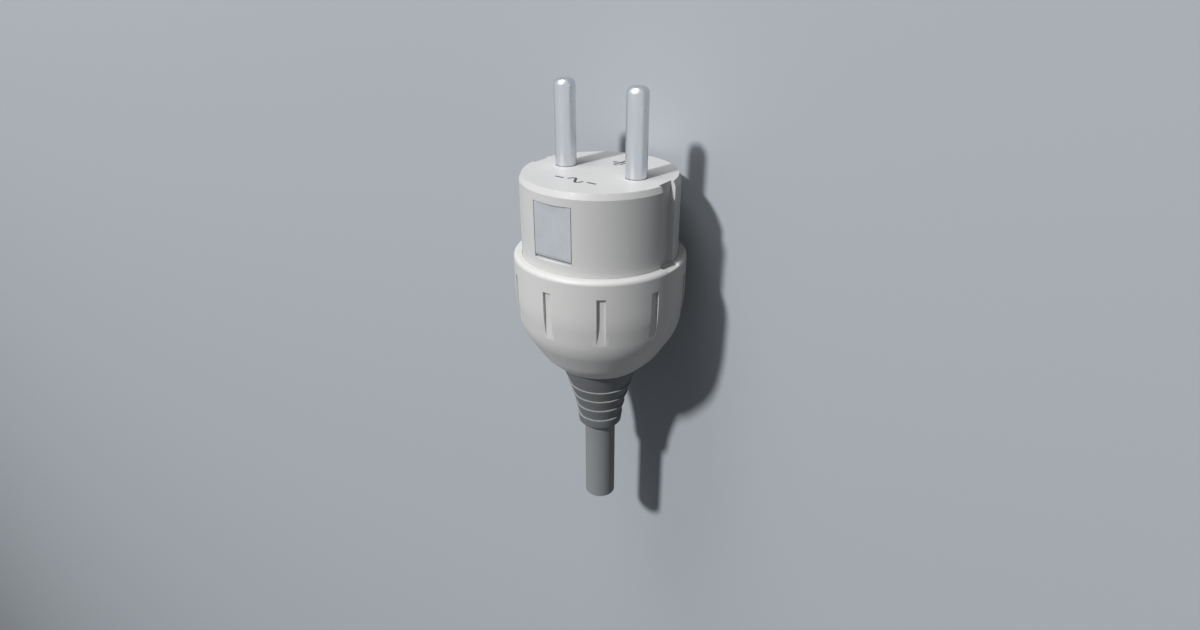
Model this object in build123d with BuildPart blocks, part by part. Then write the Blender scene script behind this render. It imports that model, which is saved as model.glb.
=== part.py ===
from build123d import *
from math import cos, hypot, radians, sin
import os

# A rewireable two-pin plug with side earth contacts. It lies on its hood with
# the pins level, and all lengths are in millimetres. Lengths along the plug
# are called heights here: they run from the cord's cut end to the pin tips.

# Heights, from the cut end of the cord onwards
stub_length = 22.3
boot_length = 18.7
hood_height = 29.0
body_rise = 18.3

# Contact pins
pin_diameter = 4.8
pin_pitch = 19.0
pin_reach = 19.0
pin_tip_flat = 2.0
pin_neck_diameter = 4.4
pin_neck_rise = 0.15
pin_head_diameter = 8.0
pin_head_length = 11.5
pin_head_bevel = 0.4
wire_hole_diameter = 2.6
wire_hole_drop = 5.9

# Front body
body_diameter = 36.0
body_wall = 2.0
face_thickness = 3.0
edge_inset = 0.55
edge_drop = 1.3
skirt_overlap = 6.7
groove_width = 5.0
groove_floor = 16.6
groove_overrun = 0.5
pad_thickness = 1.7
pad_margin = 1.5
cradle_wall = 1.0
cradle_height = 3.0

# Earth contact
window_width = 10.0
window_rim = 3.1
window_height = 12.7
window_gap = 0.15
contact_setback = 0.65
strap_thickness = 0.8
strap_bend_radius = 0.25
web_width = 7.0
web_neck_length = 13.0
earth_screw_inset = 7.35
collar_wall = 0.75
collar_height = 1.2
rib_gap = 5.2
rib_thickness = 1.1

# Hood
hood_wall = 1.9
rim_round = 1.0
foot_radius = 10.7
foot_lip = 0.5
knee_radius = 14.2
knee_rise = 3.3
shoulder_inset = 1.1
shoulder_rise = 10.7
taper_rise = 18.5
knee_blend = 12.0
shoulder_blend = 12.0
taper_blend = 30.0
seat_width = 1.6
seat_height = 1.8
slot_count = 10
slot_width = 2.0
slot_depth = 0.7
slot_drop = 4.0
slot_length = 14.0

# Snap catches between body and hood
catch_angles = (36, 144, 216, 324)
catch_width = 5.0
catch_height = 0.45
catch_length = 1.5
catch_ramp = 0.3
catch_drop = 3.8

# Bend boot
boot_ledge_radius = 8.05
boot_end_radius = 5.4
boot_end_bevel = 0.9
boot_rings = 4
boot_ring_height = 3.2
boot_ledge = 0.45
boot_curve = 1.6
flange_rim = 0.9
flange_reach = 2.0

# Cord
cord_diameter = 7.7
core_diameter = 2.7
conductor_diameter = 1.6
core_circle_gap = 0.16
core_side_gap = 0.17
filler_radius = 0.95
strip_length = 2.0
core_fan_delay = 4.0
conductor_stop = 0.5
earth_wire_gap = 0.15
core_bend_radius = 4.5
terminal_bend_radius = 2.8
earth_bend_radius = 2.0

# Cord clamp
clamp_rise = 11.3
base_height = 6.0
base_depth = 6.8
clamp_gap = 1.2
bridge_height = 5.0
bridge_wall = 1.6
bridge_flange = 2.4
bridge_end = 3.0
clamp_screw_x = 7.4
post_gap = 0.4
post_thickness = 2.4
post_width = 5.0
post_foot_height = 4.0

# Screws
screw_diameter = 3.0
screw_head_diameter = 5.4
screw_head_height = 1.8
screw_slot_width = 0.8
screw_slot_depth = 0.9
pin_screw_head_gap = 0.3
earth_screw_reach = 4.9
clamp_screw_length = 9.0

# Clearances
fit = 0.03
hood_fit = 0.1
boot_fit = 0.1
cord_fit = 0.05
catch_fit = 0.1
rest_gap = 0.02

# Levels and radii that follow from the sizes above
boot_end_z = stub_length
foot_z = boot_end_z + boot_length
rim_z = foot_z + hood_height
face_z = rim_z + body_rise
underside_z = face_z - face_thickness
skirt_end_z = rim_z - skirt_overlap
groove_end_z = rim_z - groove_overrun
body_radius = body_diameter / 2
inner_radius = body_radius - body_wall
mouth_radius = body_radius + hood_fit
hood_radius = mouth_radius + hood_wall
pin_radius = pin_diameter / 2
pin_neck_radius = pin_neck_diameter / 2
shank_z = face_z + pin_neck_rise
tip_z = face_z + pin_reach
pin_x = pin_pitch / 2
pin_head_radius = pin_head_diameter / 2
head_end_z = underside_z - pin_head_length
wire_z = underside_z - wire_hole_drop
cord_radius = cord_diameter / 2
core_radius = core_diameter / 2
conductor_radius = conductor_diameter / 2
screw_radius = screw_diameter / 2
screw_head_radius = screw_head_diameter / 2

# The strap's contact faces lie just inside the round of the body
contact_y = body_radius - contact_setback
window_top_z = face_z - window_rim
window_end_z = window_top_z - window_height
strap_top_z = window_top_z - window_gap
strap_end_z = window_end_z + window_gap
web_top_z = strap_end_z + strap_thickness
strap_width = window_width - 2 * window_gap
earth_screw_y = earth_screw_inset - contact_y

# Cord clamp, centred on the cord
clamp_z = foot_z + clamp_rise
sheath_end_z = clamp_z + base_height / 2 + strip_length
bridge_length = 2 * (clamp_screw_x + bridge_end)
post_x = bridge_length / 2 + post_gap
clamp_flange_y = clamp_gap / 2 + bridge_flange

# The hood's lowest cone and the same cone inside the wall
cone_slope = (knee_radius - foot_radius) / knee_rise
cone_wall = hood_wall * hypot(1, cone_slope)
foot_bore_radius = foot_radius - foot_lip
neck_radius = foot_bore_radius - boot_fit


def cone_inside(z):
    """Radius of the hood's inner cone at height z."""
    return foot_radius + (z - foot_z) * cone_slope - cone_wall


# The plug's own frame: X through the pins, Z along its axis, Y up to the
# clamp's side, so that the side with the earth terminal lies below
plug = Plane(origin=(0, -tip_z / 2, hood_radius), x_dir=(-1, 0, 0), z_dir=(0, 1, 0))
plug_axis = Axis(plug.origin, plug.z_dir)
lengthwise = Plane(origin=plug.origin, x_dir=plug.x_dir, z_dir=-plug.y_dir)
crosswise = Plane(origin=plug.origin, x_dir=plug.y_dir, z_dir=plug.x_dir)


def radial_plane(angle):
    """Plane through the plug's axis, its X along the given angle."""
    turn = radians(angle)
    outward = plug.x_dir * cos(turn) + plug.y_dir * sin(turn)
    sideways = plug.x_dir * sin(turn) - plug.y_dir * cos(turn)
    return Plane(origin=plug.origin, x_dir=outward, z_dir=sideways)


os.makedirs("parts", exist_ok=True)

# Contact carrier: the front body that holds pins, earth strap and clamp
with BuildPart() as contact_carrier:
    with BuildSketch(lengthwise):
        with BuildLine():
            Polyline(
                (0, face_z),
                (body_radius - edge_inset, face_z),
                (body_radius, face_z - edge_drop),
                (body_radius, skirt_end_z),
                (inner_radius, skirt_end_z),
                (inner_radius, underside_z),
                (0, underside_z),
                close=True,
            )
        make_face()
    revolve(axis=plug_axis)

    # Thick pads behind the guide grooves, and the grooves themselves
    pad_inner_x = groove_floor - pad_thickness
    with BuildSketch(plug.offset(skirt_end_z)):
        with GridLocations(pad_inner_x + groove_floor, 0, 2, 1):
            Rectangle(pad_thickness, groove_width + 2 * pad_margin)
    extrude(amount=underside_z - skirt_end_z)
    with BuildSketch(plug.offset(groove_end_z)):
        with GridLocations(2 * body_radius, 0, 2, 1):
            Rectangle(2 * (body_radius - groove_floor), groove_width)
    extrude(amount=face_z - groove_end_z, mode=Mode.SUBTRACT)

    # Windows for the earth contacts
    window_inner_y = inner_radius - body_wall / 2
    with BuildSketch(plug.offset(window_end_z)):
        with GridLocations(0, window_inner_y + body_radius + body_wall, 1, 2):
            Rectangle(window_width, body_radius + body_wall - window_inner_y)
    extrude(amount=window_height, mode=Mode.SUBTRACT)

    # Twin ribs that carry the strap's web and back its contact faces
    rib_length = 2 * (contact_y - strap_thickness - strap_bend_radius)
    with BuildSketch(plug.offset(web_top_z)):
        with GridLocations(rib_gap + rib_thickness, 0, 2, 1):
            Rectangle(rib_thickness, rib_length)
    extrude(amount=underside_z - web_top_z)

    # Cradles round the pin heads, and the pin holes
    with BuildSketch(plug.offset(underside_z)):
        with GridLocations(pin_pitch, 0, 2, 1):
            Circle(pin_head_radius + boot_fit + cradle_wall)
            Circle(pin_head_radius + boot_fit, mode=Mode.SUBTRACT)
    extrude(amount=-cradle_height)
    with BuildSketch(plug.offset(underside_z)):
        with GridLocations(pin_pitch, 0, 2, 1):
            Circle(pin_radius + fit)
    extrude(amount=face_thickness, mode=Mode.SUBTRACT)

    # Posts from the skirt back to the clamp base
    post_y = -(clamp_gap + post_width) / 2
    base_end_z = clamp_z - base_height / 2
    with BuildSketch(plug.offset(base_end_z)):
        with Locations((post_x + post_thickness / 2, post_y), (-post_x - post_thickness / 2, post_y)):
            Rectangle(post_thickness, post_width)
    extrude(amount=skirt_end_z + post_foot_height - base_end_z)
    foot_length = pad_inner_x + pad_thickness / 2 - post_x
    with BuildSketch(plug.offset(skirt_end_z)):
        with Locations((post_x + foot_length / 2, post_y), (-post_x - foot_length / 2, post_y)):
            Rectangle(foot_length, post_width)
    extrude(amount=post_foot_height)

    # Clamp base with its trough and screw holes
    with BuildSketch(plug.offset(base_end_z)):
        with Locations((0, -clamp_gap / 2 - base_depth / 2)):
            Rectangle(2 * post_x, base_depth)
        Circle(cord_radius + fit, mode=Mode.SUBTRACT)
    extrude(amount=base_height)
    with BuildSketch(lengthwise.offset(clamp_gap / 2)):
        with Locations((clamp_screw_x, clamp_z), (-clamp_screw_x, clamp_z)):
            Circle(screw_radius + fit)
    extrude(amount=clamp_screw_length - clamp_flange_y, mode=Mode.SUBTRACT)

    # Snap catches, steep above and sloped below
    catch_top_z = rim_z - catch_drop
    for angle in catch_angles:
        with BuildSketch(radial_plane(angle)):
            with BuildLine():
                Polyline(
                    (inner_radius + body_wall / 2, catch_top_z),
                    (body_radius, catch_top_z),
                    (body_radius + catch_height, catch_top_z - catch_ramp),
                    (body_radius, catch_top_z - catch_length),
                    (inner_radius + body_wall / 2, catch_top_z - catch_length),
                    close=True,
                )
            make_face()
        extrude(amount=catch_width / 2, both=True)

contact_carrier.part.label = "contact_carrier"
export_step(contact_carrier.part, "parts/contact_carrier.step")

# Rear hood: a bowl with ten grip slots, seated on the skirt's end
hood_corners = [
    (knee_radius, foot_z + knee_rise),
    (hood_radius - shoulder_inset, foot_z + shoulder_rise),
    (hood_radius, foot_z + taper_rise),
]
hood_blends = [knee_blend, shoulder_blend, taper_blend]
with BuildPart() as rear_hood:
    with BuildSketch(lengthwise):
        with BuildLine():
            foot = (foot_radius, foot_z)
            rim_start = (hood_radius, rim_z - rim_round)
            side = FilletPolyline(foot, *hood_corners, rim_start, radius=hood_blends)
            rim = TangentArc(side @ 1, (hood_radius - rim_round, rim_z), tangent=side % 1)
            Polyline(rim @ 1, (0, rim_z), (0, foot_z), foot)
        make_face()
    revolve(axis=plug_axis)
    with BuildSketch(lengthwise):
        with BuildLine():
            below = (foot_radius - cone_slope * hood_wall, foot_z - hood_wall)
            mouth = (hood_radius, rim_z)
            FilletPolyline(below, *hood_corners, mouth, radius=hood_blends)
            Polyline(mouth, (0, rim_z), (0, foot_z - hood_wall), below)
        make_face()
        offset(amount=-hood_wall)
    revolve(axis=plug_axis, mode=Mode.SUBTRACT)

    # Foot opening for the boot, and the mouth for the body's skirt
    with BuildSketch(plug.offset(foot_z)):
        Circle(foot_bore_radius)
    extrude(amount=hood_height, mode=Mode.SUBTRACT)
    with BuildSketch(plug.offset(skirt_end_z)):
        Circle(mouth_radius)
    extrude(amount=skirt_overlap, mode=Mode.SUBTRACT)

    # Ledge that the skirt seats on
    with BuildSketch(plug.offset(skirt_end_z)):
        Circle(mouth_radius + hood_wall / 2)
        Circle(mouth_radius - seat_width, mode=Mode.SUBTRACT)
    extrude(amount=-seat_height)

    # Grip slots, which run out on the taper
    with BuildSketch(plug.offset(rim_z - slot_drop)):
        with PolarLocations(hood_radius, slot_count, start_angle=180 / slot_count):
            Rectangle(2 * slot_depth, slot_width)
    extrude(amount=-slot_length, mode=Mode.SUBTRACT)

    # Guide grooves cut across the rim
    with BuildSketch(plug.offset(groove_end_z)):
        with GridLocations(2 * hood_radius, 0, 2, 1):
            Rectangle(2 * (hood_radius - groove_floor), groove_width)
    extrude(amount=groove_overrun, mode=Mode.SUBTRACT)

    # Pockets for the snap catches
    with BuildSketch(plug.offset(catch_top_z + catch_fit)):
        for angle in catch_angles:
            with PolarLocations(mouth_radius, 1, start_angle=angle):
                Rectangle(2 * catch_height, catch_width + 2 * catch_fit)
    extrude(amount=-catch_length - 2 * catch_fit, mode=Mode.SUBTRACT)

rear_hood.part.label = "rear_hood"
export_step(rear_hood.part, "parts/rear_hood.step")

# Contact pins: round shank, relieved neck in the face, thicker head with a
# cross hole for the conductor
for index, side_x in enumerate((-pin_x, pin_x), start=1):
    with BuildPart() as contact_pin:
        with BuildSketch(plug.offset(underside_z)):
            with Locations((side_x, 0)):
                Circle(pin_neck_radius)
        extrude(amount=face_thickness + pin_neck_rise)
        with BuildSketch(plug.offset(shank_z)):
            with Locations((side_x, 0)):
                Circle(pin_radius)
        extrude(amount=tip_z - shank_z)
        tip = contact_pin.edges().group_by(plug_axis)[-1]
        fillet(tip, radius=(pin_diameter - pin_tip_flat) / 2)
        with BuildSketch(plug.offset(head_end_z)):
            with Locations((side_x, 0)):
                Circle(pin_head_radius)
        extrude(amount=pin_head_length)
        head_end = contact_pin.edges().group_by(plug_axis)[0]
        chamfer(head_end, length=pin_head_bevel)
        with BuildSketch(lengthwise):
            with Locations((side_x, wire_z)):
                Circle(wire_hole_diameter / 2)
        extrude(amount=pin_head_diameter, both=True, mode=Mode.SUBTRACT)
        with BuildSketch(plug.offset(head_end_z)):
            with Locations((side_x, 0)):
                Circle(screw_radius + fit)
        extrude(amount=wire_z - head_end_z, mode=Mode.SUBTRACT)
    contact_pin.part.label = f"contact_pin_{index}"
    export_step(contact_pin.part, f"parts/contact_pin_{index}.step")

# The conductor is pressed against the front of the cross hole
conductor_z = wire_z + wire_hole_diameter / 2 - conductor_radius - rest_gap
pin_screw_tip_z = conductor_z - conductor_radius - rest_gap
pin_screw_seat_z = head_end_z - pin_screw_head_gap

# Terminal screws, driven in from behind
for index, side_x in enumerate((-pin_x, pin_x), start=1):
    with BuildPart() as pin_screw:
        with BuildSketch(plug.offset(pin_screw_seat_z)):
            with Locations((side_x, 0)):
                Circle(screw_radius)
        extrude(amount=pin_screw_tip_z - pin_screw_seat_z)
        with BuildSketch(plug.offset(pin_screw_seat_z)):
            with Locations((side_x, 0)):
                Circle(screw_head_radius)
        extrude(amount=-screw_head_height)
        with BuildSketch(plug.offset(pin_screw_seat_z - screw_head_height)):
            with Locations((side_x, 0)):
                Rectangle(screw_head_diameter, screw_slot_width)
        extrude(amount=screw_slot_depth, mode=Mode.SUBTRACT)
    pin_screw.part.label = f"pin_screw_{index}"
    export_step(pin_screw.part, f"parts/pin_screw_{index}.step")

# Earth strap: one folded strip, its ends are the side contacts
with BuildPart() as earth_strap:
    with BuildSketch(crosswise):
        with BuildLine():
            outer = Polyline(
                (-contact_y, strap_top_z),
                (-contact_y, strap_end_z),
                (contact_y, strap_end_z),
                (contact_y, strap_top_z),
            )
            offset(outer, amount=-strap_thickness, side=Side.LEFT, kind=Kind.INTERSECTION)
        make_face()
    extrude(amount=strap_width / 2, both=True)
    bends = earth_strap.edges().filter_by(Axis.X)
    inner_bends = bends.filter_by_position(plug_axis, web_top_z - fit, web_top_z + fit)
    fillet(inner_bends, radius=strap_bend_radius)
    bends = earth_strap.edges().filter_by(Axis.X)
    outer_bends = bends.filter_by_position(plug_axis, strap_end_z - fit, strap_end_z + fit)
    fillet(outer_bends, radius=strap_bend_radius + strap_thickness)

    # Narrow neck of the web, between the two pin heads
    side_cut = (strap_width - web_width) / 2
    with BuildSketch(plug.offset(strap_end_z)):
        with GridLocations(web_width + side_cut, 0, 2, 1):
            Rectangle(side_cut, web_neck_length)
    extrude(amount=strap_thickness, mode=Mode.SUBTRACT)

    # Drawn collar and its tapped hole
    with BuildSketch(plug.offset(web_top_z)):
        with Locations((0, earth_screw_y)):
            Circle(screw_radius + fit + collar_wall)
    extrude(amount=collar_height)
    with BuildSketch(plug.offset(strap_end_z)):
        with Locations((0, earth_screw_y)):
            Circle(screw_radius + fit)
    extrude(amount=strap_thickness + collar_height, mode=Mode.SUBTRACT)

earth_strap.part.label = "earth_strap"
export_step(earth_strap.part, "parts/earth_strap.step")

# Earth saddle: a folded plate that presses the conductor on the web
earth_wire_x = screw_radius + conductor_radius + earth_wire_gap
earth_wire_z = strap_end_z - conductor_radius - rest_gap
saddle_z = earth_wire_z - conductor_radius - rest_gap
saddle_half_width = earth_wire_x + conductor_radius + strap_thickness
saddle_length = screw_head_diameter - 2 * cord_fit
with BuildPart() as earth_saddle:
    with BuildSketch(plug.offset(saddle_z)):
        with Locations((0, earth_screw_y)):
            Rectangle(2 * saddle_half_width, saddle_length)
            Circle(screw_radius + boot_fit, mode=Mode.SUBTRACT)
    extrude(amount=-strap_thickness)
    with BuildSketch(plug.offset(saddle_z)):
        with Locations((-saddle_half_width + strap_thickness / 2, earth_screw_y)):
            Rectangle(strap_thickness, saddle_length)
    extrude(amount=strap_end_z - saddle_z)
earth_saddle.part.label = "earth_saddle"
export_step(earth_saddle.part, "parts/earth_saddle.step")

# Earth screw, through the saddle into the strap's collar
earth_seat_z = saddle_z - strap_thickness
with BuildPart() as earth_screw:
    with BuildSketch(plug.offset(earth_seat_z)):
        with Locations((0, earth_screw_y)):
            Circle(screw_radius)
    extrude(amount=earth_screw_reach)
    with BuildSketch(plug.offset(earth_seat_z)):
        with Locations((0, earth_screw_y)):
            Circle(screw_head_radius)
    extrude(amount=-screw_head_height)
    with BuildSketch(plug.offset(earth_seat_z - screw_head_height)):
        with Locations((0, earth_screw_y)):
            Rectangle(screw_head_diameter, screw_slot_width)
    extrude(amount=screw_slot_depth, mode=Mode.SUBTRACT)
earth_screw.part.label = "earth_screw"
export_step(earth_screw.part, "parts/earth_screw.step")

# Cord clamp: a bridge over the cord with a screw at each end
with BuildPart() as cord_clamp:
    with BuildSketch(plug.offset(clamp_z - bridge_height / 2)):
        Circle(cord_radius + bridge_wall)
        with Locations((0, (clamp_gap + bridge_flange) / 2)):
            Rectangle(bridge_length, bridge_flange)
        Circle(cord_radius + fit, mode=Mode.SUBTRACT)
        with Locations((0, clamp_gap / 2)):
            Rectangle(
                bridge_length,
                2 * cord_diameter,
                align=(Align.CENTER, Align.MAX),
                mode=Mode.SUBTRACT,
            )
    extrude(amount=bridge_height)
    with BuildSketch(lengthwise):
        with Locations((clamp_screw_x, clamp_z), (-clamp_screw_x, clamp_z)):
            Circle(screw_radius + boot_fit)
    extrude(amount=-clamp_flange_y, mode=Mode.SUBTRACT)
cord_clamp.part.label = "cord_clamp"
export_step(cord_clamp.part, "parts/cord_clamp.step")

# Clamp screws, through the bridge into the clamp base
for index, screw_x in enumerate((-clamp_screw_x, clamp_screw_x), start=1):
    with BuildPart() as clamp_screw:
        with BuildSketch(lengthwise.offset(-clamp_flange_y)):
            with Locations((screw_x, clamp_z)):
                Circle(screw_radius)
        extrude(amount=clamp_screw_length)
        with BuildSketch(lengthwise.offset(-clamp_flange_y)):
            with Locations((screw_x, clamp_z)):
                Circle(screw_head_radius)
        extrude(amount=-screw_head_height)
        with BuildSketch(lengthwise.offset(-clamp_flange_y - screw_head_height)):
            with Locations((screw_x, clamp_z)):
                Rectangle(screw_head_diameter, screw_slot_width)
        extrude(amount=screw_slot_depth, mode=Mode.SUBTRACT)
    clamp_screw.part.label = f"clamp_screw_{index}"
    export_step(clamp_screw.part, f"parts/clamp_screw_{index}.step")

# Bend boot: stacked tapers below, and a conical flange inside the hood
cone_gap = boot_fit * hypot(1, cone_slope)
seat_z = foot_z + (neck_radius + cone_gap + cone_wall - foot_radius) / cone_slope
flange_z = seat_z + flange_reach / cone_slope
flange_radius = cone_inside(flange_z) - cone_gap

# Each ring's top stands out as a ledge below the ring above it
boot_points = [(neck_radius, seat_z), (neck_radius, foot_z)]
for ring in range(boot_rings, 0, -1):
    flare = (boot_ledge_radius - boot_end_radius) * (ring / boot_rings) ** boot_curve
    ledge_z = boot_end_z + ring * boot_ring_height
    boot_points.append((boot_end_radius + flare - boot_ledge, ledge_z))
    boot_points.append((boot_end_radius + flare, ledge_z))
boot_points.append((boot_end_radius, boot_end_z + boot_end_bevel))
boot_points.append((boot_end_radius - boot_end_bevel, boot_end_z))

with BuildPart() as bend_boot:
    with BuildSketch(lengthwise):
        with BuildLine():
            Polyline(
                (cord_radius + boot_fit, boot_end_z),
                (cord_radius + boot_fit, flange_z + flange_rim),
                (flange_radius, flange_z + flange_rim),
                (flange_radius, flange_z),
                *boot_points,
                close=True,
            )
        make_face()
    revolve(axis=plug_axis)
bend_boot.part.label = "bend_boot"
export_step(bend_boot.part, "parts/bend_boot.step")

# Places of the three cores in the cord, and of their terminals
core_circle = (core_diameter + core_circle_gap) / 2 / cos(radians(30))
core_angles = {"brown": 30, "blue": 150, "earth": 270}
core_starts = {
    name: (core_circle * cos(radians(angle)), core_circle * sin(radians(angle)))
    for name, angle in core_angles.items()
}

# Cord sheath, cut square at its free end and stripped past the clamp
with BuildPart() as cord_sheath:
    with BuildSketch(plug):
        Circle(cord_radius)
        Circle(filler_radius, mode=Mode.SUBTRACT)
        with Locations(*core_starts.values()):
            Circle(core_radius + fit, mode=Mode.SUBTRACT)
    extrude(amount=sheath_end_z)
cord_sheath.part.label = "cord_sheath"
export_step(cord_sheath.part, "parts/cord_sheath.step")

# Routes of the cores: up through the cord, out to the side, along the
# pin head and into its cross hole, or on to the strap for the earth core
core_side_y = pin_head_radius + cord_fit + terminal_bend_radius + core_side_gap
fan_start_z = sheath_end_z + strip_length
fan_end_z = head_end_z - strip_length
core_end_y = pin_head_radius + cord_fit
conductor_end_y = conductor_stop - pin_head_radius
earth_core_y = earth_screw_y + saddle_length / 2 + earth_bend_radius + strip_length
earth_core_end_z = earth_wire_z - earth_bend_radius - core_radius
earth_fan_z = fan_start_z + core_fan_delay


def core_route(name, terminal_x, end_y):
    """Corner points of a pin core, from the cut end to y = end_y at its pin."""
    start_x, start_y = core_starts[name]
    return [
        (start_x, start_y, 0),
        (start_x, start_y, fan_start_z),
        (terminal_x, core_side_y, fan_end_z),
        (terminal_x, core_side_y, conductor_z),
        (terminal_x, end_y, conductor_z),
    ]


def earth_route(ends_on_strap):
    """Corner points of the earth core, or of its conductor on to the strap."""
    start_x, start_y = core_starts["earth"]
    points = [
        (start_x, start_y, 0),
        (start_x, start_y, fan_start_z),
        (earth_wire_x, earth_core_y, earth_fan_z),
    ]
    if ends_on_strap:
        points.append((earth_wire_x, earth_core_y, earth_wire_z))
        points.append((earth_wire_x, earth_screw_y - saddle_length / 2, earth_wire_z))
    else:
        points.append((earth_wire_x, earth_core_y, earth_core_end_z))
    return points


core_bends = [core_bend_radius, core_bend_radius, terminal_bend_radius]
earth_bends = [core_bend_radius, core_bend_radius]
core_routes = {
    "brown": (core_route("brown", pin_x, core_end_y), core_bends),
    "blue": (core_route("blue", -pin_x, core_end_y), core_bends),
    "earth": (earth_route(False), earth_bends),
}
conductor_routes = {
    "brown": (core_route("brown", pin_x, conductor_end_y), core_bends),
    "blue": (core_route("blue", -pin_x, conductor_end_y), core_bends),
    "earth": (earth_route(True), earth_bends + [earth_bend_radius]),
}

# Core insulation, each a tube along its route
for name, (points, bends) in core_routes.items():
    with BuildPart() as core:
        with BuildLine(plug) as core_path:
            FilletPolyline(*points, radius=bends)
        with BuildSketch(plug):
            with Locations(core_starts[name]):
                Circle(core_radius)
                Circle(conductor_radius + fit, mode=Mode.SUBTRACT)
        sweep(path=core_path.line)
    core.part.label = f"core_{name}"
    export_step(core.part, f"parts/core_{name}.step")

# Copper conductors, bare where they enter their terminals
for name, (points, bends) in conductor_routes.items():
    with BuildPart() as conductor:
        with BuildLine(plug) as conductor_path:
            FilletPolyline(*points, radius=bends)
        with BuildSketch(plug):
            with Locations(core_starts[name]):
                Circle(conductor_radius)
        sweep(path=conductor_path.line)
    conductor.part.label = f"conductor_{name}"
    export_step(conductor.part, f"parts/conductor_{name}.step")
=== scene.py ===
"""Earthed mains plug, lying on its hood: mouldings, contacts, signs, cord end and studio."""
import logging
import math
from dataclasses import dataclass, field
from enum import Enum

import bmesh
import bpy
from mathutils import Matrix, Vector


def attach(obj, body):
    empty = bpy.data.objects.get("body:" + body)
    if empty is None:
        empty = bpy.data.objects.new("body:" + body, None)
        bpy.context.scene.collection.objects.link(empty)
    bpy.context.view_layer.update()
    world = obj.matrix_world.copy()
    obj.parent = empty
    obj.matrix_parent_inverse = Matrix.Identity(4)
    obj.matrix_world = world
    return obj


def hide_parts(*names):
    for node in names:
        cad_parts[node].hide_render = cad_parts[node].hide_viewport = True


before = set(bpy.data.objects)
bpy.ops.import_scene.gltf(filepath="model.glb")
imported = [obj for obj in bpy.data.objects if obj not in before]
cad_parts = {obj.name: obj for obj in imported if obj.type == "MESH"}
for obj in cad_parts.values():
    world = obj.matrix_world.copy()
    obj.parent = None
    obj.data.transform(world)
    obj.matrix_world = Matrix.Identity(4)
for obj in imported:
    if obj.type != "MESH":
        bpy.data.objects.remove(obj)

LOG = logging.getLogger("plug")
MM = 0.001
BODY = "root"
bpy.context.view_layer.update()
ROUND_PROFILE = 0.5
NOISE_MIDDLE = 0.5
MIX_COLOURS = (6, 7)
MIX_RESULT = 2

Triple = tuple[float, float, float]


class Slot(Enum):
    """Material slots of the record that the dressed pieces take their finish from."""

    BODY = "body_plastic"
    HOOD = "hood_plastic"
    PIN = "plated_pin"
    STRAP = "plated_strap"
    SCREW = "screw_steel"
    CLAMP = "clamp_plastic"
    BOOT = "boot_rubber"
    SHEATH = "sheath_pvc"
    BROWN = "core_brown"
    BLUE = "core_blue"
    EARTH = "core_green_yellow"
    COPPER = "copper"


class Marks(Enum):
    """Which way the fine marks of a metal surface run, as a stretch of its coordinates."""

    DRAWN = (26.0, 0.9, 26.0)
    ROLLED = (22.0, 1.2, 3.0)
    EVEN = (9.0, 9.0, 9.0)


@dataclass(frozen=True)
class PlugSizes:
    """Sizes of the plug in millimetres that the dressed pieces are placed by.

    Heights run along the plug from the cord's cut end, as in the part itself.
    """

    length: float = 107.3
    hood_radius: float = 20.0
    face_height: float = 88.3
    core_circle: float = 1.6512

    def spot(self, across: float, height: float, up: float) -> Vector:
        """Turns plug measures into a place in the row's frame.

        Args:
            across: distance from the axis along the pin row, in mm.
            height: distance along the plug from the cut end, in mm.
            up: distance from the axis upwards, in mm.

        Returns:
            The place in metres.
        """
        return Vector((across, height - self.length / 2, self.hood_radius + up)) * MM


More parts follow.
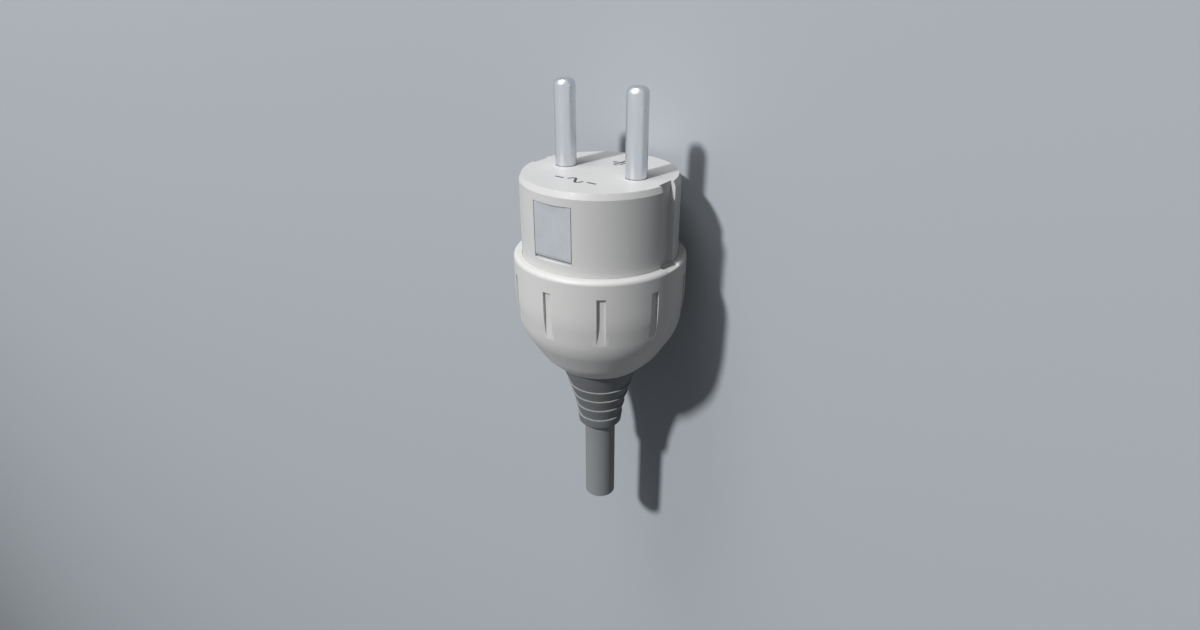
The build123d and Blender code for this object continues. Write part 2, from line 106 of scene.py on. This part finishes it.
class NodeBoard:
    """A node tree with short ways to add and join its nodes."""

    def __init__(self, tree: bpy.types.NodeTree) -> None:
        """Keeps the tree that nodes are added to."""
        self.tree = tree

    def add(self, kind: str, **values: object) -> bpy.types.Node:
        """Adds a node and sets its properties and inputs.

        Args:
            kind: the node's type name.
            values: properties by name, or input values by socket name with _ for a space.

        Returns:
            The new node.
        """
        node = self.tree.nodes.new(kind)
        for name, value in values.items():
            socket = node.inputs.get(name.replace("_", " "))
            if hasattr(node, name):
                setattr(node, name, value)
            elif socket is not None:
                socket.default_value = value
        return node

    def join(self, source: bpy.types.NodeSocket, target: bpy.types.NodeSocket) -> None:
        """Links an output to an input."""
        self.tree.links.new(source, target)

    def feed(self, sockets: list[bpy.types.NodeSocket], values: tuple) -> None:
        """Feeds inputs in order, each by a link where its value is a socket.

        Args:
            sockets: the inputs.
            values: a socket or a plain value for each of them.
        """
        for socket, value in zip(sockets, values):
            if isinstance(value, bpy.types.NodeSocket):
                self.join(value, socket)
            else:
                socket.default_value = value

    def texture(self, kind: str, place: bpy.types.NodeSocket, **values: float) -> bpy.types.Node:
        """Adds a texture node.

        Args:
            kind: the node's type name.
            place: the coordinates it is laid out by.
            values: input values by socket name.

        Returns:
            The new node.
        """
        node = self.add(kind, **values)
        self.join(place, node.inputs["Vector"])
        return node

    def math(self, operation: str, first: object, second: object) -> bpy.types.NodeSocket:
        """Adds a Math node.

        Args:
            operation: the node's operation.
            first: a socket or a number.
            second: a socket or a number.

        Returns:
            The node's output.
        """
        node = self.tree.nodes.new("ShaderNodeMath")
        node.operation = operation
        self.feed(list(node.inputs), (first, second))
        return node.outputs[0]

    def mix(
        self, share: bpy.types.NodeSocket, low: object, high: object, blend: str = "MIX"
    ) -> bpy.types.NodeSocket:
        """Mixes two colours by a share.

        Args:
            share: the socket that chooses between them.
            low: the colour or socket at 0.
            high: the colour or socket at 1.
            blend: how the second colour is laid over the first.

        Returns:
            The mixed colour's output.
        """
        node = self.tree.nodes.new("ShaderNodeMix")
        node.data_type = "RGBA"
        node.blend_type = blend
        self.join(share, node.inputs[0])
        self.feed([node.inputs[index] for index in MIX_COLOURS], (low, high))
        return node.outputs[MIX_RESULT]

    def ramp(self, source: bpy.types.NodeSocket, low: float, high: float) -> bpy.types.NodeSocket:
        """Stretches a value so that low becomes 0 and high becomes 1.

        Args:
            source: the value.
            low: what becomes 0.
            high: what becomes 1.

        Returns:
            The stretched value's output.
        """
        node = self.add("ShaderNodeMapRange")
        node.inputs["From Min"].default_value = low
        node.inputs["From Max"].default_value = high
        self.join(source, node.inputs["Value"])
        return node.outputs["Result"]


def new_group(name: str, inputs: dict[str, float | tuple], outputs: dict[str, str]) -> tuple:
    """Starts a shader node group with named sockets.

    Args:
        name: the group's name.
        inputs: default value of each input; a tuple of four makes a colour, of three a vector.
        outputs: socket type of each output.

    Returns:
        The board, the group's input node and its output node.
    """
    tree = bpy.data.node_groups.new(name, "ShaderNodeTree")
    kinds = {4: "NodeSocketColor", 3: "NodeSocketVector"}
    for title, value in inputs.items():
        kind = kinds[len(value)] if isinstance(value, tuple) else "NodeSocketFloat"
        socket = tree.interface.new_socket(title, in_out="INPUT", socket_type=kind)
        socket.default_value = value
    for title, kind in outputs.items():
        tree.interface.new_socket(title, in_out="OUTPUT", socket_type=kind)
    board = NodeBoard(tree)
    return board, board.add("NodeGroupInput"), board.add("NodeGroupOutput")


def rgba(colour: Triple) -> tuple[float, float, float, float]:
    """Adds full cover to a colour."""
    return (*colour, 1.0)


SURFACE_OUTPUTS = {
    "Colour": "NodeSocketColor",
    "Roughness": "NodeSocketFloat",
    "Height": "NodeSocketFloat",
}
GREY = rgba((0.5, 0.5, 0.5))
MOULDED_INPUTS = {
    "Colour": GREY,
    "Grain Scale": 0.0,
    "Roughness": 0.0,
    "Drift": 0.0,
    "Dust": 0.0,
    # the last input sets the share of the painted highlight on faces turned towards the pins
    "Painted Ledge Highlight": 0.0,
}
METAL_INPUTS = {"Colour": GREY, "Stretch": (1.0, 1.0, 1.0), "Roughness": 0.0, "Cloud": 0.0}


@dataclass(frozen=True)
class SkinPattern:
    """Pattern of a moulded skin.

    Scales are per metre. A span holds the noise values at which an effect starts and is full.
    """

    grain_detail: float = 2.0
    grain_roughness: float = 0.55
    grain_share: float = 0.7
    pit_scale: float = 2100.0
    pit_share: float = 0.3
    drift_scale: float = 70.0
    drift_detail: float = 3.0
    drift_span: tuple[float, float] = (0.35, 0.65)
    drift_tone: Triple = (0.62, 0.60, 0.57)
    drift_roughness: float = 0.16
    dust_scale: float = 900.0
    dust_detail: float = 6.0
    dust_roughness: float = 0.7
    dust_span: tuple[float, float] = (0.60, 0.74)
    dust_tone: Triple = (0.42, 0.40, 0.37)
    dust_grit: float = 0.12
    # Painted highlight: this span holds the normal's share towards the pins, not noise values, and the
    # tone is the painted pale of the lit faces.
    lit_facing_span: tuple[float, float] = (0.7, 0.9)
    painted_highlight_tone: Triple = (0.50, 0.51, 0.51)


@dataclass(frozen=True)
class MetalPattern:
    """Pattern of a worked metal. Scales are per metre before the stretch."""

    mark_scale: float = 190.0
    mark_detail: float = 4.0
    mark_share: float = 0.22
    cloud_scale: float = 260.0
    cloud_detail: float = 5.0
    cloud_span: tuple[float, float] = (0.38, 0.68)
    cloud_tone: Triple = (0.55, 0.53, 0.50)
    cloud_share: float = 0.10
    noise_roughness: float = 0.6


def moulded_surface(look: SkinPattern) -> bpy.types.NodeTree:
    """Builds the group of a moulded skin: eroded grain, slow drift of tone, dust, and a painted highlight
    that pales the faces turned towards the pins.

    Args:
        look: the pattern's sizes and tones.

    Returns:
        The node group.
    """
    board, source, target = new_group("moulded surface", MOULDED_INPUTS, SURFACE_OUTPUTS)
    where = board.add("ShaderNodeTexCoord")
    place = where.outputs["Object"]

    grain = board.texture(
        "ShaderNodeTexNoise", place, Detail=look.grain_detail, Roughness=look.grain_roughness
    )
    board.join(source.outputs["Grain Scale"], grain.inputs["Scale"])
    pits = board.texture("ShaderNodeTexVoronoi", place, Scale=look.pit_scale)
    sink = board.texture("ShaderNodeTexNoise", place, Scale=look.drift_scale, Detail=look.drift_detail)
    dust = board.texture(
        "ShaderNodeTexNoise",
        place,
        Scale=look.dust_scale,
        Detail=look.dust_detail,
        Roughness=look.dust_roughness,
    )

    fine = board.math("MULTIPLY", grain.outputs[0], look.grain_share)
    coarse = board.math("MULTIPLY", pits.outputs["Distance"], look.pit_share)
    board.join(board.math("ADD", fine, coarse), target.inputs["Height"])

    drift = board.ramp(sink.outputs[0], *look.drift_span)
    drifting = board.math("MULTIPLY", drift, source.outputs["Drift"])
    darker = board.mix(drifting, source.outputs["Colour"], rgba(look.drift_tone), blend="MULTIPLY")
    specks = board.ramp(dust.outputs[0], *look.dust_span)
    amount = board.math("MULTIPLY", specks, source.outputs["Dust"])
    dusty = board.mix(amount, darker, rgba(look.dust_tone))
    # Painted highlight: faces whose normal turns towards the pins, where the lamps fall, get a paler tone
    # that stands in for light caught on the steps.
    facing = board.add("ShaderNodeSeparateXYZ")
    board.join(where.outputs["Normal"], facing.inputs[0])
    lit_facing = board.ramp(facing.outputs["Y"], *look.lit_facing_span)
    painted_light_share = board.math("MULTIPLY", lit_facing, source.outputs["Painted Ledge Highlight"])
    board.join(board.mix(painted_light_share, dusty, rgba(look.painted_highlight_tone)), target.inputs["Colour"])

    lean = board.math("SUBTRACT", sink.outputs[0], NOISE_MIDDLE)
    swing = board.math("MULTIPLY", lean, look.drift_roughness)
    rough = board.math("ADD", source.outputs["Roughness"], swing)
    grit = board.math("MULTIPLY", specks, look.dust_grit)
    board.join(board.math("ADD", rough, grit), target.inputs["Roughness"])
    return board.tree


def worked_metal(look: MetalPattern) -> bpy.types.NodeTree:
    """Builds the group of a plated metal: fine marks along one way and softly clouded plate.

    Args:
        look: the pattern's sizes and tones.

    Returns:
        The node group.
    """
    board, source, target = new_group("worked metal", METAL_INPUTS, SURFACE_OUTPUTS)
    place = board.add("ShaderNodeTexCoord").outputs["Object"]
    spread = board.add("ShaderNodeVectorMath", operation="MULTIPLY")
    board.join(place, spread.inputs[0])
    board.join(source.outputs["Stretch"], spread.inputs[1])

    marks = board.texture(
        "ShaderNodeTexNoise",
        spread.outputs[0],
        Scale=look.mark_scale,
        Detail=look.mark_detail,
        Roughness=look.noise_roughness,
    )
    cloud = board.texture(
        "ShaderNodeTexNoise",
        place,
        Scale=look.cloud_scale,
        Detail=look.cloud_detail,
        Roughness=look.noise_roughness,
    )
    board.join(marks.outputs[0], target.inputs["Height"])

    dull = board.ramp(cloud.outputs[0], *look.cloud_span)
    dulling = board.math("MULTIPLY", dull, source.outputs["Cloud"])
    shade = board.mix(dulling, source.outputs["Colour"], rgba(look.cloud_tone), blend="MULTIPLY")
    board.join(shade, target.inputs["Colour"])

    lean = board.math("SUBTRACT", marks.outputs[0], NOISE_MIDDLE)
    marked = board.math("MULTIPLY", lean, look.mark_share)
    clouded = board.math("MULTIPLY", dull, look.cloud_share)
    rough = board.math("ADD", source.outputs["Roughness"], marked)
    board.join(board.math("ADD", rough, clouded), target.inputs["Roughness"])
    return board.tree


class Groups:
    """The node groups that the finishes share, each built once."""

    def __init__(self) -> None:
        """Builds the groups."""
        self.moulded = moulded_surface(SkinPattern())
        self.metal = worked_metal(MetalPattern())


class Skin:
    """A new material whose surface comes from one of the shared node groups."""

    def __init__(self, name: str, group: bpy.types.NodeTree, values: dict[str, object]) -> None:
        """Makes the material and feeds the group.

        Args:
            name: the material's name.
            group: the node group that gives colour, roughness and height.
            values: the group's inputs by name.
        """
        self.material = bpy.data.materials.new(name)
        self.material.use_nodes = True
        self.board = NodeBoard(self.material.node_tree)
        self.shader = self.material.node_tree.nodes["Principled BSDF"]
        self.surface = self.board.add("ShaderNodeGroup", node_tree=group)
        for title, value in values.items():
            self.surface.inputs[title].default_value = value

    def finish(self, depth: float) -> bpy.types.Material:
        """Joins the surface to the shader.

        Args:
            depth: depth of the fine marks, in mm.

        Returns:
            The material.
        """
        bump = self.board.add("ShaderNodeBump", Strength=1.0, Distance=depth * MM)
        self.board.join(self.surface.outputs["Height"], bump.inputs["Height"])
        self.board.join(self.surface.outputs["Colour"], self.shader.inputs["Base Color"])
        self.board.join(self.surface.outputs["Roughness"], self.shader.inputs["Roughness"])
        self.board.join(bump.outputs[0], self.shader.inputs["Normal"])
        return self.material


@dataclass(frozen=True)
class Moulded:
    """Finish of a moulded plastic or rubber skin."""

    name: str
    colour: Triple
    roughness: float = 0.45
    grain_scale: float = 5200.0
    grain_depth: float = 0.006
    drift: float = 0.05
    dust: float = 0.04
    # Share of the painted highlight on faces turned towards the pins.
    painted_ledge_highlight: float = 0.0
    specular: float = 0.45
    stripe: Triple | None = None
    band_scale: float = 95.0
    band_edge: tuple[float, float] = (0.46, 0.54)

    def build(self, groups: Groups) -> bpy.types.Material:
        """Builds the material.

        Args:
            groups: the shared node groups.

        Returns:
            The material.
        """
        values = {
            "Colour": rgba(self.colour),
            "Grain Scale": self.grain_scale,
            "Roughness": self.roughness,
            "Drift": self.drift,
            "Dust": self.dust,
            "Painted Ledge Highlight": self.painted_ledge_highlight,
        }
        skin = Skin(self.name, groups.moulded, values)
        skin.shader.inputs["Specular IOR Level"].default_value = self.specular
        if self.stripe is not None:
            skin.board.join(self.stripes(skin.board), skin.surface.inputs["Colour"])
        return skin.finish(self.grain_depth)

    def stripes(self, board: NodeBoard) -> bpy.types.NodeSocket:
        """Adds the second colour of a two-coloured core, in slanting bands.

        Args:
            board: the material's board.

        Returns:
            The striped colour's output.
        """
        place = board.add("ShaderNodeTexCoord").outputs["Object"]
        bands = board.texture("ShaderNodeTexWave", place, Scale=self.band_scale, Distortion=0.0)
        bands.bands_direction = "DIAGONAL"
        edge = board.ramp(bands.outputs["Fac"], *self.band_edge)
        return board.mix(edge, rgba(self.colour), rgba(self.stripe))


@dataclass(frozen=True)
class Metal:
    """Finish of a worked and plated metal surface."""

    name: str
    colour: Triple
    roughness: float
    marks: Marks
    mark_depth: float = 0.003
    cloud: float = 0.12

    def build(self, groups: Groups) -> bpy.types.Material:
        """Builds the material.

        Args:
            groups: the shared node groups.

        Returns:
            The material.
        """
        values = {
            "Colour": rgba(self.colour),
            "Stretch": self.marks.value,
            "Roughness": self.roughness,
            "Cloud": self.cloud,
        }
        skin = Skin(self.name, groups.metal, values)
        skin.shader.inputs["Metallic"].default_value = 1.0
        return skin.finish(self.mark_depth)


FINISHES = {
    Slot.BODY: Moulded("front body plastic", (0.625, 0.623, 0.617), roughness=0.44),
    Slot.HOOD: Moulded("hood plastic", (0.640, 0.636, 0.628), roughness=0.47, grain_depth=0.008),
    Slot.PIN: Metal(
        "satin nickel pin", (0.69, 0.71, 0.735), 0.29, Marks.DRAWN, mark_depth=0.0012, cloud=0.08
    ),
    Slot.STRAP: Metal("matt nickel strip", (0.51, 0.53, 0.55), 0.64, Marks.ROLLED, cloud=0.2),
    Slot.SCREW: Metal("zinc-plated screw", (0.62, 0.62, 0.60), 0.40, Marks.EVEN),
    Slot.CLAMP: Moulded("clamp plastic", (0.55, 0.55, 0.54), roughness=0.5),
    # The boot's pale steps are a painted highlight on its faces turned towards the pins.
    Slot.BOOT: Moulded(
        "boot rubber", (0.168, 0.176, 0.184), roughness=0.6, grain_depth=0.012, painted_ledge_highlight=0.8, specular=0.25
    ),
    Slot.SHEATH: Moulded(
        "cord sheath", (0.245, 0.256, 0.267), roughness=0.52, grain_scale=3000.0, specular=0.25
    ),
    Slot.BROWN: Moulded("brown core", (0.16, 0.06, 0.03), roughness=0.4),
    Slot.BLUE: Moulded("blue core", (0.03, 0.16, 0.55), roughness=0.4),
    Slot.EARTH: Moulded("green and yellow core", (0.07, 0.36, 0.06), stripe=(0.80, 0.68, 0.04)),
    Slot.COPPER: Metal("copper strands", (0.80, 0.38, 0.20), 0.34, Marks.DRAWN),
}
INK = Moulded("printed ink", (0.040, 0.042, 0.046), roughness=0.55, grain_depth=0.002)


class Wardrobe:
    """All the materials of the plug, by slot."""

    def __init__(self) -> None:
        """Builds every material once."""
        groups = Groups()
        self.materials = {slot: finish.build(groups) for slot, finish in FINISHES.items()}
        self.ink = INK.build(groups)

    def dress(self, piece: bpy.types.Object, slot: Slot) -> None:
        """Gives a piece the material of a slot."""
        piece.data.materials.clear()
        piece.data.materials.append(self.materials[slot])


def report(piece: bpy.types.Object) -> None:
    """Logs a finished piece with its faces and size."""
    size = ", ".join("%.1f" % (edge / MM) for edge in piece.dimensions)
    LOG.info("%s: %d faces, %s mm", piece.name, len(piece.data.polygons), size)


def take_mesh(name: str, shape: bmesh.types.BMesh) -> bpy.types.Mesh:
    """Turns a finished edit mesh into a mesh and frees it.

    Args:
        name: the mesh's name.
        shape: the edit mesh.

    Returns:
        The mesh.
    """
    mesh = bpy.data.meshes.new(name)
    shape.to_mesh(mesh)
    shape.free()
    return mesh


def place_piece(name: str, mesh: bpy.types.Mesh) -> bpy.types.Object:
    """Makes an object of a mesh and puts it on the plug.

    Args:
        name: the piece's name.
        mesh: its mesh, already in the row's frame.

    Returns:
        The piece.
    """
    piece = bpy.data.objects.new(name, mesh)
    bpy.context.scene.collection.objects.link(piece)
    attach(piece, BODY)
    return piece


@dataclass
class Softener:
    """Makes a copy of a CAD node with small rounds along its edges, as moulds and tools leave them."""

    weld: float = 0.0005
    flat: float = 0.4
    steps: int = 2

    def copy(self, node: str, width: float, slot: Slot, wardrobe: Wardrobe, crease: float = 28.0) -> None:
        """Builds the rounded copy of a node and puts it in the node's place.

        Args:
            node: the CAD node's name.
            width: width of the rounds in mm.
            slot: the material slot.
            wardrobe: the materials.
            crease: angle in degrees from which an edge is rounded.
        """
        shape = bmesh.new()
        shape.from_mesh(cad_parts[node].data)
        bmesh.ops.remove_doubles(shape, verts=shape.verts, dist=self.weld * MM)
        bmesh.ops.dissolve_limit(
            shape,
            angle_limit=math.radians(self.flat),
            verts=shape.verts,
            edges=shape.edges,
            delimit={"NORMAL"},
        )
        sharp = [edge for edge in shape.edges if edge.calc_face_angle(0.0) > math.radians(crease)]
        bmesh.ops.bevel(
            shape,
            geom=sharp,
            offset=width * MM,
            offset_type="OFFSET",
            affect="EDGES",
            segments=self.steps,
            profile=ROUND_PROFILE,
            clamp_overlap=True,
            material=-1,
        )
        for face in shape.faces:
            face.smooth = True
        name = node + "_moulded"
        piece = place_piece(name, take_mesh(name, shape))
        weighted = piece.modifiers.new("even shading", "WEIGHTED_NORMAL")
        weighted.keep_sharp = True
        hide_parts(node)
        wardrobe.dress(piece, slot)
        report(piece)


@dataclass
class FrontBody:
    """The round front body with its two signs, in millimetres."""

    sizes: PlugSizes
    edge_round: float = 0.10
    crease: float = 18.0
    stroke: float = 0.30
    stroke_steps: int = 2
    ink_thickness: float = 0.02
    wave_up: float = 9.1
    wave_length: float = 4.2
    wave_height: float = 1.3
    wave_steps: int = 12
    bar_length: float = 2.3
    bar_gap: float = 1.0
    earth_up: float = -8.3
    earth_stem: float = 2.0
    earth_widths: tuple[float, ...] = (4.2, 2.6, 1.0)
    earth_step: float = 1.15

    def build(self, softener: Softener, wardrobe: Wardrobe) -> None:
        """Builds the body's skin and prints its signs.

        Args:
            softener: makes the rounded copy.
            wardrobe: the materials.
        """
        softener.copy("contact_carrier", self.edge_round, Slot.BODY, wardrobe, crease=self.crease)
        self.print_sign("current_sign", self.current_lines(), wardrobe)
        self.print_sign("earth_sign", self.earth_lines(), wardrobe)

    def current_lines(self) -> list[list[tuple[float, float]]]:
        """Lines of the alternating current sign: a wave between two bars."""
        half = self.wave_length / 2
        wave = []
        for index in range(self.wave_steps + 1):
            share = index / self.wave_steps
            rise = self.wave_height * math.sin(2 * math.pi * share)
            wave.append((-half + share * self.wave_length, self.wave_up - rise))
        inner = half + self.bar_gap
        outer = inner + self.bar_length
        left = [(-outer, self.wave_up), (-inner, self.wave_up)]
        right = [(inner, self.wave_up), (outer, self.wave_up)]
        return [left, wave, right]

    def earth_lines(self) -> list[list[tuple[float, float]]]:
        """Lines of the earth sign: a stem and three bars that grow shorter."""
        stem_top = self.earth_up - self.earth_stem
        lines = [[(0.0, stem_top), (0.0, self.earth_up)]]
        for index, width in enumerate(self.earth_widths):
            level = self.earth_up + index * self.earth_step
            lines.append([(-width / 2, level), (width / 2, level)])
        return lines

    def print_sign(self, name: str, lines: list[list[tuple[float, float]]], wardrobe: Wardrobe) -> None:
        """Prints lines on the face as thin ink.

        Args:
            name: the sign's name.
            lines: each line's points as (across, up) in mm from the axis.
            wardrobe: the materials.
        """
        curve = bpy.data.curves.new(name, "CURVE")
        curve.dimensions = "3D"
        curve.bevel_depth = self.stroke * MM
        curve.bevel_resolution = self.stroke_steps
        curve.use_fill_caps = True
        for line in lines:
            spline = curve.splines.new("POLY")
            spline.points.add(len(line) - 1)
            for point, (across, up) in zip(spline.points, line):
                point.co = (*self.sizes.spot(across, self.sizes.face_height, up), 1.0)
        helper = bpy.data.objects.new(name + "_line", curve)
        mesh = bpy.data.meshes.new_from_object(helper)
        bpy.data.objects.remove(helper)
        face = self.sizes.spot(0.0, self.sizes.face_height, 0.0)
        squash = Matrix.Diagonal((1.0, self.ink_thickness / self.stroke, 1.0, 1.0))
        mesh.transform(Matrix.Translation(face) @ squash @ Matrix.Translation(-face))
        mesh.name = name
        for polygon in mesh.polygons:
            polygon.use_smooth = True
        piece = place_piece(name, mesh)
        mesh.materials.clear()
        mesh.materials.append(wardrobe.ink)
        report(piece)


@dataclass
class Contacts:
    """The two pins and the earth strip that shows in the windows."""

    pin_round: float = 0.12
    strap_round: float = 0.12
    pins: tuple[str, ...] = ("contact_pin_1", "contact_pin_2")

    def build(self, softener: Softener, wardrobe: Wardrobe) -> None:
        """Builds the contacts' skins.

        Args:
            softener: makes the rounded copies.
            wardrobe: the materials.
        """
        for pin in self.pins:
            softener.copy(pin, self.pin_round, Slot.PIN, wardrobe)
        softener.copy("earth_strap", self.strap_round, Slot.STRAP, wardrobe)


@dataclass
class Casing:
    """The hood and the bend boot."""

    hood_round: float = 0.06
    boot_round: float = 0.04

    def build(self, softener: Softener, wardrobe: Wardrobe) -> None:
        """Builds the skins of hood and boot.

        Args:
            softener: makes the rounded copies.
            wardrobe: the materials.
        """
        softener.copy("rear_hood", self.hood_round, Slot.HOOD, wardrobe)
        softener.copy("bend_boot", self.boot_round, Slot.BOOT, wardrobe)


@dataclass
class CordEnd:
    """The sheath and the strands that show at the cut end."""

    sizes: PlugSizes
    sheath_round: float = 0.10
    strand_radius: float = 0.155
    strand_pitch: float = 2.05
    strand_length: float = 0.22
    strand_round: float = 0.04
    rim_angle: float = 60.0
    rings: int = 2
    per_ring: int = 6
    sides: int = 10
    even_share: float = 0.6
    uneven_steps: tuple[float, float] = (7.0, 3.0)
    core_angles: dict[str, float] = field(
        default_factory=lambda: {"brown": 30.0, "blue": 150.0, "earth": 270.0}
    )

    def build(self, softener: Softener, wardrobe: Wardrobe) -> None:
        """Builds the sheath's skin and the strands of each core.

        Args:
            softener: makes the rounded copy.
            wardrobe: the materials.
        """
        softener.copy("cord_sheath", self.sheath_round, Slot.SHEATH, wardrobe)
        for core, angle in self.core_angles.items():
            self.strands(core, angle, wardrobe)

    def strands(self, core: str, angle: float, wardrobe: Wardrobe) -> None:
        """Builds the ends of one core's strands, which stand a little proud of the cut.

        Args:
            core: the core's colour name.
            angle: the core's place round the cord, in degrees.
            wardrobe: the materials.
        """
        turn = math.radians(angle)
        centre_x = -self.sizes.core_circle * math.cos(turn)
        centre_up = self.sizes.core_circle * math.sin(turn)
        pitch = self.strand_pitch * self.strand_radius
        index_step, ring_step = self.uneven_steps
        bundle = bmesh.new()
        for ring in range(self.rings + 1):
            count = max(1, self.per_ring * ring)
            for index in range(count):
                lean = 2 * math.pi * index / count
                x = centre_x + ring * pitch * math.cos(lean)
                up = centre_up + ring * pitch * math.sin(lean)
                wave = math.sin(index_step * index + ring_step * ring + angle)
                proud = self.strand_length * (self.even_share + (1.0 - self.even_share) * wave)
                self.strand(bundle, x, up, proud)
        rims = [edge for edge in bundle.edges if edge.calc_face_angle(0.0) > math.radians(self.rim_angle)]
        bmesh.ops.bevel(
            bundle,
            geom=rims,
            offset=self.strand_round * MM,
            affect="EDGES",
            segments=1,
            profile=ROUND_PROFILE,
            material=-1,
        )
        name = "strands_" + core
        piece = place_piece(name, take_mesh(name, bundle))
        wardrobe.dress(piece, Slot.COPPER)
        report(piece)

    def strand(self, bundle: bmesh.types.BMesh, x: float, up: float, proud: float) -> None:
        """Adds the end of one strand to a core's bundle.

        Args:
            bundle: the edit mesh of the strands.
            x: the strand's place along the pin row, in mm from the axis.
            up: its place upwards, in mm from the axis.
            proud: how far it stands out of the cut, in mm.
        """
        middle = self.sizes.spot(x, -proud / 2, up)
        bmesh.ops.create_cone(
            bundle,
            cap_ends=True,
            segments=self.sides,
            radius1=self.strand_radius * MM,
            radius2=self.strand_radius * MM,
            depth=proud * MM,
            matrix=Matrix.Translation(middle) @ Matrix.Rotation(math.radians(90), 4, "X"),
        )


@dataclass
class InnerParts:
    """What the casing holds: terminals, clamp and cores, each with its own finish."""

    slots: dict[str, Slot] = field(
        default_factory=lambda: {
            "pin_screw_1": Slot.SCREW,
            "pin_screw_2": Slot.SCREW,
            "earth_saddle": Slot.SCREW,
            "earth_screw": Slot.SCREW,
            "cord_clamp": Slot.CLAMP,
            "clamp_screw_1": Slot.SCREW,
            "clamp_screw_2": Slot.SCREW,
            "core_brown": Slot.BROWN,
            "core_blue": Slot.BLUE,
            "core_earth": Slot.EARTH,
            "conductor_brown": Slot.COPPER,
            "conductor_blue": Slot.COPPER,
            "conductor_earth": Slot.COPPER,
        }
    )

    def build(self, wardrobe: Wardrobe) -> None:
        """Dresses every inner node."""
        for node, slot in self.slots.items():
            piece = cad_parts[node]
            wardrobe.dress(piece, slot)
            report(piece)


@dataclass
class Studio:
    """Floor, soft lamps and camera. Lengths are in metres, the lens and its sensor in millimetres."""

    floor_size: float = 6.0
    floor_colour: Triple = (0.445, 0.474, 0.507)
    lit_middle: Triple = (0.0, 0.01, 0.02)
    key_direction: Triple = (-0.1433, 0.6361, 0.7582)
    key_distance: float = 2.6
    key_size: float = 0.20
    key_power: float = 58.0
    sky_direction: Triple = (-0.18, 0.95, 0.26)
    sky_distance: float = 2.4
    sky_size: float = 1.1
    sky_power: float = 22.0
    world_colour: Triple = (0.93, 0.96, 1.0)
    world_strength: float = 0.12
    world_seen: float = 0.72
    floor_bounce: Triple = (0.145, 0.152, 0.16)
    floor_roughness: float = 0.8
    floor_specular: float = 0.2
    camera_place: Triple = (0.0925, 0.07823, 0.1503)
    camera_right: Triple = (0.8153, 0.0, -0.5790)
    camera_up: Triple = (-0.2572, 0.8959, -0.3621)
    lens: float = 22.046
    sensor_width: float = 36.0
    clip_start: float = 0.01

    def build(self) -> None:
        """Builds the studio."""
        self.floor()
        self.light()
        self.camera()
        bpy.context.scene.view_settings.view_transform = "Standard"

    def floor(self) -> None:
        """Lays the plain pale floor."""
        sheet = bmesh.new()
        bmesh.ops.create_grid(sheet, x_segments=1, y_segments=1, size=self.floor_size / 2)
        mesh = take_mesh("floor", sheet)
        floor = bpy.data.objects.new("floor", mesh)
        bpy.context.scene.collection.objects.link(floor)
        material = bpy.data.materials.new("pale floor")
        material.use_nodes = True
        shader = material.node_tree.nodes["Principled BSDF"]
        board = NodeBoard(material.node_tree)
        colour = board.mix(self.seen(board), rgba(self.floor_bounce), rgba(self.floor_colour))
        board.join(colour, shader.inputs["Base Color"])
        shader.inputs["Roughness"].default_value = self.floor_roughness
        shader.inputs["Specular IOR Level"].default_value = self.floor_specular
        mesh.materials.append(material)

    def light(self) -> None:
        """Hangs the two lamps and sets the room's even light."""
        self.lamp("key", self.key_direction, self.key_distance, self.key_size, self.key_power)
        self.lamp("sky", self.sky_direction, self.sky_distance, self.sky_size, self.sky_power)
        world = bpy.data.worlds.new("room")
        world.use_nodes = True
        board = NodeBoard(world.node_tree)
        extra = board.math("MULTIPLY", self.seen(board), self.world_seen - self.world_strength)
        back = world.node_tree.nodes["Background"]
        back.inputs["Color"].default_value = rgba(self.world_colour)
        board.join(board.math("ADD", extra, self.world_strength), back.inputs["Strength"])
        bpy.context.scene.world = world

    @staticmethod
    def seen(board: NodeBoard) -> bpy.types.NodeSocket:
        """Adds a switch that is 1 where the camera or a mirroring piece looks, and 0 for other light.

        Args:
            board: the board of the floor's or the room's nodes.

        Returns:
            The switch's output.
        """
        rays = board.add("ShaderNodeLightPath")
        return board.math("MAXIMUM", rays.outputs["Is Camera Ray"], rays.outputs["Is Glossy Ray"])

    def lamp(self, name: str, direction: Triple, distance: float, size: float, power: float) -> None:
        """Hangs one round lamp that faces the plug.

        Args:
            name: the lamp's name.
            direction: the way from the plug to the lamp.
            distance: how far away it hangs, in metres.
            size: its diameter, in metres.
            power: its power, in watts.
        """
        towards = Vector(direction).normalized()
        data = bpy.data.lights.new(name, "AREA")
        data.shape = "DISK"
        data.size = size
        data.energy = power
        lamp = bpy.data.objects.new(name, data)
        lamp.location = Vector(self.lit_middle) + towards * distance
        lamp.rotation_euler = towards.to_track_quat("Z", "Y").to_euler()
        bpy.context.scene.collection.objects.link(lamp)

    def camera(self) -> None:
        """Sets the camera at the photograph's angle."""
        data = bpy.data.cameras.new("camera")
        data.sensor_fit = "HORIZONTAL"
        data.sensor_width = self.sensor_width
        data.lens = self.lens
        data.clip_start = self.clip_start
        camera = bpy.data.objects.new("camera", data)
        right = Vector(self.camera_right).normalized()
        up = Vector(self.camera_up).normalized()
        turn = Matrix((right, up, right.cross(up))).transposed().to_4x4()
        camera.matrix_world = Matrix.Translation(self.camera_place) @ turn
        bpy.context.scene.collection.objects.link(camera)
        bpy.context.scene.camera = camera


def main() -> None:
    """Builds and dresses the whole plug in order."""
    logging.basicConfig(level=logging.INFO, format="%(name)s %(message)s")
    sizes = PlugSizes()
    wardrobe = Wardrobe()
    softener = Softener()
    FrontBody(sizes).build(softener, wardrobe)
    Contacts().build(softener, wardrobe)
    Casing().build(softener, wardrobe)
    CordEnd(sizes).build(softener, wardrobe)
    InnerParts().build(wardrobe)
    Studio().build()


if __name__ == "__main__":
    main()
